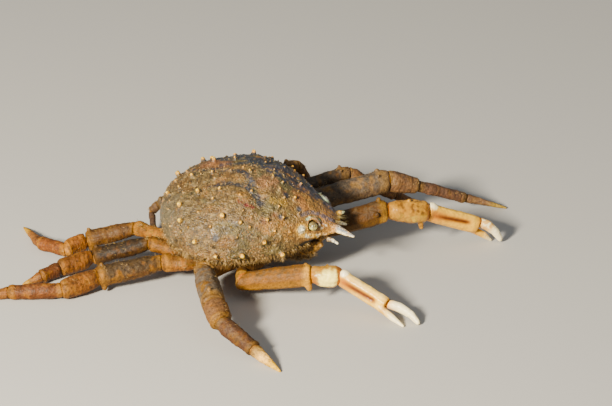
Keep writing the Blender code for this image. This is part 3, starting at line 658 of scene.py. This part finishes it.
def grow_granules(co, normals, body, knob):
    """Fine raised grains between the knobs, thickest on the shell's lower half and none on its face."""
    x, y, z = body.T
    clear = (1 - knob) * (1 - step(x, 29, 31)) * step(z, -5.5, -3.5)
    clear = clear * (1 - 0.8 * step(y, 4, 9)) * (1 - 0.6 * step(x, 8, 14)) * (1 - step(x, 19, 22))
    thick = (0.25 + step(-z, -9, 0)) * (1 - smooth_rear(body) * 0.85)
    weights = clear * thick * step(noise_at(co, 4.0, 21.0), -0.5, 0.4)
    chosen = pick(weights, GRANULES)
    sizes = rng.uniform(0.1, 0.24, len(chosen))
    places = (co[chosen] + normals[chosen] * 0.02, normals[chosen], sizes,
              chance_colours(GRANULE_COLOURS, len(chosen)) * SHELL_TONE, shell_unwrap(body[chosen]))
    scatter("shell_granules", granule_shape(), [places], granule_skin)


def shell_fringe(co, normals, body):
    """Short bristles that hang round the lower margin of the shell."""
    level = turned([(0, 0, 1)])[0]
    out = normals - np.outer(normals @ level, level)
    outward = np.linalg.norm(out, axis=1)
    weights = step(-body[:, 2], 2.2, 4.2) * step(outward, 0.12, 0.5) * (1 - step(body[:, 0], 24, 26))
    chosen = pick(weights, FRINGE_BRISTLES)
    count = len(chosen)
    aims = out[chosen] * 0.55 - level * 0.75 + rng.normal(scale=0.28, size=(count, 3))
    return (co[chosen] - normals[chosen] * 0.05, aims, rng.uniform(0.8, 2.3, count),
            chance_colours(BRISTLE_COLOURS, count), shell_unwrap(body[chosen]))


def rostral_bristles():
    """A few long bristles between the horns."""
    count = ROSTRAL_BRISTLES
    roots = np.stack((rng.uniform(31.2, 32.4, count), rng.uniform(-2.0, 2.4, count),
                      rng.uniform(0.9, 1.7, count)), axis=1)
    aims = np.stack((np.ones(count), rng.normal(scale=0.14, size=count), rng.normal(scale=0.1, size=count)),
                    axis=1)
    places = (from_body(roots), turned(aims), rng.uniform(3.2, 5.2, count),
              np.tile(ROSTRAL_HAIR, (count, 1)), shell_unwrap(roots))
    scatter("rostral_bristles", bristle_shape(0.008, 1, 0.12), [places], bristle_skin)


# Legs

def corners_of(node):
    """The corners of a CAD node in millimetres."""
    count = len(NODES[node].data.vertices)
    co = np.empty(count * 3)
    NODES[node].data.vertices.foreach_get("co", co)
    return co.reshape(-1, 3) / MM


def joint_between(a, b):
    """The middle of the ring of corners where two nodes meet, and its radius."""
    pa, pb = corners_of(a), corners_of(b)
    gaps = np.linalg.norm(pa[:, None] - pb[None], axis=2).min(axis=1)
    near = pa[gaps < max(0.9, gaps.min() * 1.5)]
    middle = near.mean(axis=0)
    return middle, np.linalg.norm(near - middle, axis=1).mean()


def root_of(base, meet):
    """The middle and radius of the ring by which a leg's base leaves the breast plate."""
    co = corners_of(base)
    ring = co[np.argsort(np.linalg.norm(co - meet, axis=1))[-10:]]
    middle = ring.mean(axis=0)
    return middle, np.linalg.norm(ring - middle, axis=1).mean()


def tip_of(node, meet):
    """The corner of a node that is farthest from its joint."""
    co = corners_of(node)
    return co[np.linalg.norm(co - meet, axis=1).argmax()]


def along(co, start, end):
    """Place along a leg piece from 0 to 1, and degrees round it from its outer side."""
    axis = (end - start) / np.linalg.norm(end - start)
    side = np.cross(axis, (0, 0, 1.0))
    side /= np.linalg.norm(side)
    up = np.cross(side, axis)
    away = co - start
    t = away @ axis / np.linalg.norm(end - start)
    return t, np.degrees(np.arctan2(away @ up, away @ side))


# How much silt lies on each piece of a leg, and how much more or less on some legs
SILT_SHARE = {"base": 0.35, "merus": 0.9, "carpus": 0.3, "propodus": 0.3, "dactyl": 0.0}
LEG_SILT_SHARE = {"leg4_right": 0.4, "leg4_left": 1.4}

# How bright each leg is painted, and the power that deepens its colours
LEG_LOOK = {"leg1_right": (0.31, 1.0), "leg2_right": (0.39, 1.15), "leg3_right": (0.32, 1.2),
            "leg4_right": (0.46, 1.15), "leg1_left": (0.33, 0.9), "leg4_left": (0.18, 0.85)}
OTHER_LOOK = (0.35, 1.0)

# How bright some pieces are against the rest of their leg
PIECE_TONE = {"leg1_right_merus": 1.05, "leg1_right_propodus": 0.6, "leg2_right_merus": 0.92,
              "leg3_right_merus": 0.5, "leg4_right_merus": 0.75, "leg4_right_carpus": 1.1,
              "leg1_left_merus": 1.15, "leg1_left_carpus": 0.95, "leg1_left_propodus": 1.2,
              "leg2_left_propodus": 1.2}

# The near front leg has a clean pale foot, brightened partly as painted highlight: how pale, how far towards
# full brightness, and its silt
FOOT_LOOK = {"leg1_right": (0.9, 0.8, LEG_SILT_PALE)}
OTHER_FOOT = (0.15, 0.2, LEG_SILT)

# How much bluish grey painted shade lies all over the left legs
LEFT_LEG_SHADE = 0.16

# How many tufts of bristles each piece of a leg has
TUFT_COUNTS = {"base": 70, "merus": 60, "carpus": 24, "propodus": 16, "dactyl": 0}

LEG_PARTS = ("base", "merus", "carpus", "propodus", "dactyl")

# Filled while the legs and claws are dressed: tufts of bristles, and joints that need folds
leg_tufts = []
rings = []


def leg_relief(co, t, tip, kind):
    """How far the cuticle stands out: waves, grains, creases and a collar at each end but on feet."""
    rough = noise_at(co, 1.1, 3.0, 3) * 0.08 + noise_at(co, 4.2, 6.0, 2) * 0.3
    grains = bumps_at(co, 1.2, 8.0) * step(noise_at(co, 4.0, 2.0), 0.0, 0.5) * 0.14
    creases = np.sin(t * 55 + noise_at(co, 5.0, 7.0) * 4) * 0.03
    collar = 0.3 * np.exp(-((t - 0.95) / 0.08) ** 2) - 0.2 * np.exp(-((t - 0.08) / 0.09) ** 2)
    if kind == "dactyl":
        collar = 0
    return (rough + grains + creases) * (1 - tip * 0.85) + collar + 0.08


def foot_marks(colours, t, pale):
    """A pale middle and a golden tip."""
    colours = mix(colours, DACTYL_PALE, step(t, 0.0, 0.15) * (1 - step(t, 0.5, 0.7)) * pale)
    return mix(colours, DACTYL_TIP, step(t, 0.45, 0.75))


def silt_on_leg(colours, t, cover, silt_colour):
    """Silt on the upper side, paler joints and a dark line at the far end."""
    colours = mix(colours, silt_colour, cover)
    colours = mix(colours, JOINT, np.maximum(step(t, 0.84, 0.96), step(0.14 - t, 0, 0.1)) * 0.6)
    return mix(colours, LEG_DARK, np.exp(-((t - 0.995) / 0.02) ** 2) * 0.6)


def dress_leg_piece(node, start, end, kind, leg):
    """One piece of a leg with its relief, its colours and the places of its tufts."""
    obj = finer(node, LEG_VOXEL, LEG_ROUNDS)
    mesh = obj.data
    co, ends, normals = arrays(mesh)
    base = relaxed(co, ends, 30)
    height = ((co - base) * normals).sum(axis=1)
    t, turn = along(co, start, end)
    up = step(normals[:, 2], -0.35, 0.5)
    tip = step(t, 0.5, 0.9) if kind == "dactyl" else np.zeros(len(co))
    co = co + normals * leg_relief(co, t, tip, kind)[:, None]
    put_back(mesh, co)

    pale, lift, silt_colour = FOOT_LOOK.get(leg, OTHER_FOOT)
    patch = noise_at(co, 3.0, 1.0, 3)
    small = noise_at(co, 1.0, 4.0, 3)
    colours = mix(LEG_COLOURS[kind], LEG_DARK, step(patch, 0.0, 0.7) * 0.45)
    colours = mix(colours, JOINT, step(-patch, 0.15, 0.6) * 0.45)
    colours = mix(colours, LEG_RED, step(noise_at(co, 2.2, 17.0, 2), 0.1, 0.6) * 0.3)
    if kind == "base":
        # Cream patches on the upper side of the bases, a painted highlight
        colours = mix(colours, CREAM, step(small, 0.0, 0.5) * up * 0.45)
    if kind == "dactyl":
        colours = foot_marks(colours, t, pale)
    else:
        silt = min(1.0, SILT_SHARE[kind] * LEG_SILT_SHARE.get(leg, 1.0))
        streaks = noise_at(co, 1.6, 33.0, 2)
        cover = silt * (0.35 + 0.65 * up) * step(patch + streaks * 0.6, -0.75, 0.05)
        colours = silt_on_leg(colours, t, cover, silt_colour)
    colours = mix(colours, SILT_DARK, step(small, 0.1, 0.6) * 0.5 * (1 - tip))
    colours = mix(colours, SILT_PALE, step(-small, 0.2, 0.7) * 0.3 * (1 - tip))
    colours = mix(colours, KNOB, step(height, 0.15, 0.4) * 0.7)
    # Painted shade: the left legs are tinted bluish grey all over
    if "left" in leg:
        colours = mix(colours, GREY_SHADE_AND_RINGS, LEFT_LEG_SHADE)
    tone, depth = LEG_LOOK.get(leg, OTHER_LOOK)
    tone = tone * PIECE_TONE.get(node, 1.0)
    # Feet are lifted towards full brightness; on the near front leg this is partly a painted highlight
    lit = tone + (1 - tone) * lift * (step(t, 0.1, 0.4) if kind == "dactyl" else 0)
    paint(mesh, colours ** depth * np.reshape(lit, (-1, 1)))
    finish(obj, leg_skin, [node])

    # The small extra weight keeps the chances from adding up to nothing
    weights = step(normals[:, 2], -0.6, 0.3) * (1 - tip) * step(patch, -0.4, 0.4) + 1e-6
    chosen = pick(weights, TUFT_COUNTS[kind])
    count = len(chosen)
    axis = (end - start) / np.linalg.norm(end - start)
    aims = axis * 0.8 + normals[chosen] * 0.5 + rng.normal(scale=0.22, size=(count, 3))
    sizes = rng.uniform(0.5, 1.5 if kind == "base" else 1.0, count)
    leg_tufts.append((co[chosen], aims, sizes, chance_colours(BRISTLE_COLOURS, count),
                      leg_unwrap(len(leg_tufts), t[chosen], turn[chosen])))


def dress_leg(leg):
    """Every piece of a leg, and the joints that its folds fill."""
    names = [leg + "_" + part for part in LEG_PARTS]
    meets = [joint_between(a, b) for a, b in zip(names, names[1:])]
    meets.insert(0, root_of(names[0], meets[0][0]))
    stops = [m[0] for m in meets] + [tip_of(names[-1], meets[-1][0])]
    for part, name, start, end in zip(LEG_PARTS, names, stops, stops[1:]):
        dress_leg_piece(name, start, end, part, leg)
    rings.extend((meets[k], stops[k - 1], stops[k + 1], LEG_COLOURS["base"] * 0.3)
                 for k in range(1, len(meets)))


# Claws

CLAW_PARTS = ("base", "merus", "carpus", "palm", "finger")


# Looks of the claw's pieces: the near, right claw is clean and pale with a painted highlight on its palm,
# the left one darker, partly painted shade, and more golden

def arm_look(skin, near):
    """A silty tan arm with a golden collar at its far end."""
    t, small, up = skin.t, skin.small, skin.normals[:, 2]
    dent = noise_at(skin.co, 1.1, 3.0, 3) * 0.06 + noise_at(skin.co, 4.0, 6.0, 2) * 0.22 + 0.08
    dent += 0.25 * np.exp(-((t - 0.95) / 0.06) ** 2)
    tan = mix(CLAW_TAN, LEG_COLOURS["carpus"], step(skin.patch, -0.3, 0.5) * 0.6)
    # The far, left arm and its collar are painted much darker, as painted shade
    colours = tan * (0.36 if near else 0.14)
    colours = mix(colours, LEG_SILT * 0.6, step(up, 0.2, 0.9) * step(small, -0.3, 0.4) * 0.5)
    golden = JOINT * (0.75 if near else 0.3)
    colours = mix(colours, golden, np.maximum(step(t, 0.88, 0.97), skin.low * 0.5) * 0.75)
    colours = mix(colours, SILT_DARK, step(small, 0.15, 0.6) * 0.3)
    return dent, mix(colours, GOLD, step(t, 0.86, 0.9) * skin.low * 0.5)


def base_look(skin, near):
    """The arm's shaded root."""
    dent, colours = arm_look(skin, near)
    return dent, colours * 0.5


def merus_look(skin, near):
    """The arm's long piece, with painted shade where it leaves its root."""
    dent, colours = arm_look(skin, near)
    return dent, mix(colours, CLAW_TAN * 0.3, step(0.13 - skin.t, 0, 0.1) * 0.9)


def wrist_look(skin, near):
    """A swollen amber wrist with a pale patch on its outer side."""
    t, small = skin.t, skin.small
    dent = noise_at(skin.co, 2.4, 3.0, 2) * 0.22 + 0.15 * np.exp(-((t - 0.93) / 0.06) ** 2)
    dent += 0.55 * np.exp(-((t - 0.22) / 0.2) ** 2)
    colours = mix(GOLD * (0.5 if near else 0.8), AMBER, step(skin.patch, -0.2, 0.5) * 0.4 + skin.low * 0.4)
    patch_at, patch_width = (12, 62) if near else (-20, 30)
    pale = np.exp(-((skin.turn - patch_at) / patch_width) ** 4 - ((t - 0.62) / 0.34) ** 4)
    if near:
        colours = mix(colours, WRIST_PATCH, step(pale + small * 0.35, 0.1, 0.8))
        silty = step(skin.normals[:, 2], 0.55, 0.95) * step(small, -0.2, 0.4)
        colours = mix(colours, LEG_SILT, silty * 0.35)
    else:
        colours = mix(colours, CLAW_TAN * 0.5, step(small, -0.4, 0.4) * 0.8 + 0.2)
        colours = mix(colours, CREAM, pale * step(small, -0.3, 0.2) * 0.5)
        colours = mix(colours, JOINT, step(noise_at(skin.co, 2.4, 19.0, 3), -0.1, 0.3) * 0.6) * 0.7
    ends = np.maximum(step(t, 0.92, 0.98), step(0.08 - t, 0, 0.06))
    return dent, mix(colours, AMBER, ends * 0.8)


def palm_look(skin, near):
    """A cream palm with a deep amber groove along its outer side, a knuckle and a white finger."""
    t, up = skin.t, skin.normals[:, 2]
    off_line = np.abs(skin.turn - 4)
    line = np.minimum(off_line, 180 - off_line)
    width = 38 - 20 * np.clip(t, 0, 1)
    groove = np.exp(-(line / width) ** 2) * step(t, 0.0, 0.12) * (1 - step(t, 0.74, 0.88))
    core = np.exp(-(line / (width * 0.5)) ** 2) * step(t, 0.1, 0.35) * (1 - step(t, 0.72, 0.84))
    fingers = step(t, 1.02, 1.28) if near else step(t, 1.12, 1.36)
    knuckle = np.exp(-((t - 0.07) / 0.08) ** 2) * np.exp(-((skin.turn - 84) / 38) ** 2)
    dent = -0.5 * groove + noise_at(skin.co, 2.6, 3.0, 2) * 0.1 + knuckle * 0.7
    # Painted highlight: the near palm is whiter on its upper side
    colours = mix(CREAM, WHITE, (step(skin.patch, -0.3, 0.4) * 0.2 + step(up, 0.3, 0.9) * 0.25) * near)
    colours = mix(colours, GOLD, 0.2 if near else 0.6)
    colours = mix(colours, AMBER * 1.4, step(0.4 - t, 0, 0.3) * step(-up, -0.75, -0.2) * 0.8)
    colours = mix(colours, GOLD, np.maximum(skin.low * 0.6, groove ** 0.4 * 0.6) * (1 - fingers))
    colours = mix(colours, AMBER, step(t, 0.88, 0.99) * (1 - step(t, 1.0, 1.15)) * 0.5)
    colours = mix(colours, AMBER, groove)
    colours = mix(colours, GROOVE, core ** 0.7)
    return dent, mix(colours, WHITE, np.maximum(fingers, step(knuckle, 0.25, 0.6)))


def finger_look(skin, near):
    """A white finger, golden at its root."""
    t = skin.t
    dent = noise_at(skin.co, 2.0, 3.0, 2) * 0.06
    root = step(0.2 - t, 0, 0.2) if near else step(0.55 - t, 0, 0.2) * step(skin.small, -0.6, 0.0)
    colours = mix(WHITE, GOLD, root * 0.8)
    return dent, mix(colours, AMBER, step(0.4 - t, 0, 0.3) * skin.low * 0.7)


CLAW_LOOKS = {"base": base_look, "merus": merus_look, "carpus": wrist_look, "palm": palm_look,
              "finger": finger_look}


def dress_claw_piece(node, start, end, kind, near):
    """One piece of a claw, shaped and painted by the look of its kind."""
    obj = finer(node, CLAW_VOXEL, CLAW_ROUNDS)
    mesh = obj.data
    co, _, normals = arrays(mesh)
    t, turn = along(co, start, end)
    skin = SimpleNamespace(co=co, normals=normals, t=t, turn=turn, small=noise_at(co, 1.2, 4.0, 3),
                           patch=noise_at(co, 4.0, 1.0, 3), low=step(-normals[:, 2], -0.2, 0.75))
    dent, colours = CLAW_LOOKS[kind](skin, near)
    put_back(mesh, co + normals * dent[:, None])
    paint(mesh, colours)
    finish(obj, leg_skin if kind in ("base", "merus") else claw_skin, [node])


def dress_claw(side):
    """Every piece of a claw, and the joints that its folds fill."""
    names = ["claw_%s_%s" % (side, part) for part in CLAW_PARTS]
    meets = [joint_between(a, b) for a, b in zip(names, names[1:])]
    meets.insert(0, root_of(names[0], meets[0][0]))
    stops = [m[0] for m in meets] + [tip_of(names[-1], meets[-1][0])]
    for part, name, start, end in zip(CLAW_PARTS, names, stops, stops[1:]):
        dress_claw_piece(name, start, end, part, side == "right")
    rings.extend((meets[k], stops[k - 1], stops[k + 1], AMBER * 0.75) for k in range(1, len(meets)))


def add_membranes():
    """Soft folds that close the gaps between the pieces of the legs."""
    bm = bmesh.new()
    shade = bm.verts.layers.float_color.new("tint")
    for (middle, radius), before, after, colour in rings:
        run = Vector(after) - Vector(before)
        turn = Vector((0, 0, 1)).rotation_difference(run.normalized()).to_matrix().to_4x4()
        flat = Matrix.Diagonal((1, 1, FOLD_FLATNESS, 1))
        ball = bmesh.ops.create_uvsphere(bm, u_segments=20, v_segments=12, radius=radius * FOLD_SHARE * MM,
                                         matrix=Matrix.Translation(Vector(middle) * MM) @ turn @ flat)
        for v in ball["verts"]:
            v[shade] = (*colour, 1.0)
    mesh = bpy.data.meshes.new("joint_folds")
    bm.to_mesh(mesh)
    bm.free()
    obj = bpy.data.objects.new("joint_folds", mesh)
    bpy.context.scene.collection.objects.link(obj)
    finish(obj, leg_skin, [])


# Underside, mouth and eyes

def shape_plate(node, voxel, rough):
    """A plate of the underside or the mouth, made finer and a little uneven."""
    obj = finer(node, voxel, PLATE_ROUNDS)
    mesh = obj.data
    co, _, normals = arrays(mesh)
    co = co + normals * (noise_at(co, 1.5, 3.0, 3) * rough + 0.02)[:, None]
    put_back(mesh, co)
    finish(obj, shell_skin, [node])
    return mesh, co, normals, to_body(co)


def dress_underside(node, voxel):
    """An ochre plate of the underside with darker and paler blotches."""
    mesh, co, _, _ = shape_plate(node, voxel, 0.1)
    patch = noise_at(co, 2.5, 1.0, 3)
    colours = mix(OCHRE, SILT_DARK, step(patch, 0.0, 0.7) * 0.6)
    paint(mesh, mix(colours, OCHRE * 1.4, step(-patch, 0.2, 0.6) * 0.5))


def dress_mouth(side):
    """A mouth part, orange below the painted shadow of the slit, and the places of its bristles."""
    mesh, co, normals, body = shape_plate("maxilliped_" + side, MOUTH_VOXEL, 0.22)
    x, _, z = body.T
    small = noise_at(co, 1.2, 4.0, 3)
    top = step(z + 0.62 * (24 - x) / 2 + 7.4, 0, 1.2)
    colours = mix(MOUTH * 0.8, ORANGE, step(small, -0.2, 0.4) * 0.7)
    colours = mix(colours, SILT_DARK, step(-small, 0.0, 0.5) * step(25 - x, 0, 3) * 0.6)
    colours = mix(colours, JOINT, step(x, 23.5, 25.5) * step(small, -0.4, 0.2) * 0.5)
    # Painted shadow of the slit on the top of the mouth part
    colours = mix(colours, SLIT_SHADOW, top * step(29 - x, 0, 3) * 0.9)
    colours = mix(colours, ORANGE * 1.3, spots(body, JAW_ORANGE_PLACES) * 0.8)
    paint(mesh, mix(colours, IVORY, spots(body, JAW_IVORY_PLACES)))
    weights = step(np.abs(body[:, 1]), 3.0, 5.0) * (1 - top) + 0.3 * step(-normals[:, 2], 0.0, 0.6)
    chosen = pick(weights * step(27 - x, 0, 3) + 1e-9, MOUTH_BRISTLES)
    count = len(chosen)
    aims = normals[chosen] * 0.5 + turned([(0.3, 0, -0.75)]) + rng.normal(scale=0.3, size=(count, 3))
    return (co[chosen], aims, rng.uniform(0.6, 1.7, count), chance_colours(BRISTLE_COLOURS, count),
            shell_unwrap(body[chosen]))


def dress_antenna(side):
    """A ringed ivory feeler with a darker root."""
    mesh, _, _, body = shape_plate("antenna_" + side, ANTENNA_VOXEL, 0.04)
    ringed = step(np.sin(body[:, 0] * 4.6), 0.2, 0.8)
    root = step(32.6 - body[:, 0], 0, 1.2)
    paint(mesh, mix(mix(IVORY * 0.8, GREY_SHADE_AND_RINGS, ringed * 0.7), MOUTH * 0.6, root * 0.8))


def dress_eye(side):
    """A mottled greenish eye, with painted shade on top under the arch and behind in the socket."""
    obj = finer("eye_" + side, EYE_VOXEL, EYE_ROUNDS)
    mesh = obj.data
    co, _, _ = arrays(mesh)
    body = to_body(co)
    small = noise_at(co, 0.6, 4.0, 3)
    middle = co.mean(axis=0)
    put_back(mesh, middle + (co - middle) * EYE_SWELL[side])
    colours = mix(EYE_YELLOW, GREENISH, step(small, -0.3, 0.3) * 0.6)
    # Painted shade on top of the eye, under the arch
    colours = mix(colours, EYE_BROWN, step(body[:, 2] - 0.5 * small, 2.9, 3.8) * 0.75)
    colours = mix(colours, EYE_BROWN, step(np.sin(body[:, 0] * 4.5 + small * 3), 0.0, 0.8) * 0.6)
    # Painted shade at the back of the eye, in the socket
    colours = mix(colours, EYE_BROWN * 0.6, step(25.4 - body[:, 0], 0, 0.8) * 0.7)
    paint(mesh, colours)
    finish(obj, eye_skin, ["eye_" + side])


shell_co, shell_normals, shell_body, shell_knobs = dress_shell()
coat = [shell_fringe(shell_co, shell_normals, shell_body)]
grow_granules(shell_co, shell_normals, shell_body, shell_knobs)
rostral_bristles()
for number in (1, 2, 3, 4):
    for side in ("left", "right"):
        dress_leg("leg%d_%s" % (number, side))
for side in ("left", "right"):
    dress_claw(side)
    coat.append(dress_mouth(side))
    dress_antenna(side)
    dress_eye(side)
dress_underside("sternum", STERNUM_VOXEL)
dress_underside("abdomen", ABDOMEN_VOXEL)
add_membranes()
scatter("shell_bristles", bristle_shape(0.045, 3, 0.3), coat, bristle_skin)
scatter("leg_bristles", bristle_shape(0.05, 3, 0.3), leg_tufts, bristle_skin)


# Floor, light and camera

def add_floor():
    """A plain pale floor, wide enough to fill every view."""
    bm = bmesh.new()
    bmesh.ops.create_grid(bm, x_segments=1, y_segments=1, size=6)
    mesh = bpy.data.meshes.new("floor")
    bm.to_mesh(mesh)
    bm.free()
    floor = bpy.data.objects.new("floor", mesh)
    bpy.context.scene.collection.objects.link(floor)
    mesh.materials.append(plain("pale_floor", "#B2AFA9", 0.9))


def seen_from(azimuth, elevation):
    """The direction from the model to a viewer or a light."""
    return Vector((math.sin(azimuth) * math.cos(elevation), -math.cos(azimuth) * math.cos(elevation),
                   math.sin(elevation)))


def add_light(name, azimuth, elevation, distance, size, power, colour):
    """A square soft light that looks at the model from a direction in degrees."""
    back = seen_from(math.radians(azimuth), math.radians(elevation))
    data = bpy.data.lights.new(name, "AREA")
    data.size = size
    data.energy = power
    data.color = colour
    obj = bpy.data.objects.new(name, data)
    bpy.context.scene.collection.objects.link(obj)
    obj.location = Vector((0, 0, 0.01)) + back * distance
    obj.rotation_euler = back.to_track_quat("Z", "Y").to_euler()


def add_world():
    """A faint even light from all round."""
    world = bpy.data.worlds.new("studio")
    world.use_nodes = True
    world.node_tree.nodes["Background"].inputs["Color"].default_value = (0.92, 0.96, 1.0, 1.0)
    world.node_tree.nodes["Background"].inputs["Strength"].default_value = 0.3
    bpy.context.scene.world = world


def add_camera():
    """A camera that sees the model as the photo does."""
    back = seen_from(AZIMUTH, ELEVATION)
    right = Vector((math.cos(AZIMUTH), math.sin(AZIMUTH), 0))
    up = back.cross(right)
    place = Vector(AIM) + Vector((BODY_PLACE[0] * MM, BODY_PLACE[1] * MM, 0))
    data = bpy.data.cameras.new("camera")
    data.lens = LENS
    data.sensor_width = 36
    data.clip_start = 0.05
    obj = bpy.data.objects.new("camera", data)
    bpy.context.scene.collection.objects.link(obj)
    obj.location = place + right * AIM_RIGHT + up * AIM_UP + back * DISTANCE
    obj.rotation_euler = back.to_track_quat("Z", "Y").to_euler()
    bpy.context.scene.camera = obj


add_floor()
add_light("key", azimuth=-20, elevation=27, distance=0.9, size=0.13, power=33.0, colour=(1.0, 0.92, 0.76))
add_light("fill", azimuth=70, elevation=55, distance=1.2, size=1.2, power=1.6, colour=(0.9, 0.95, 1.0))
add_world()
add_camera()
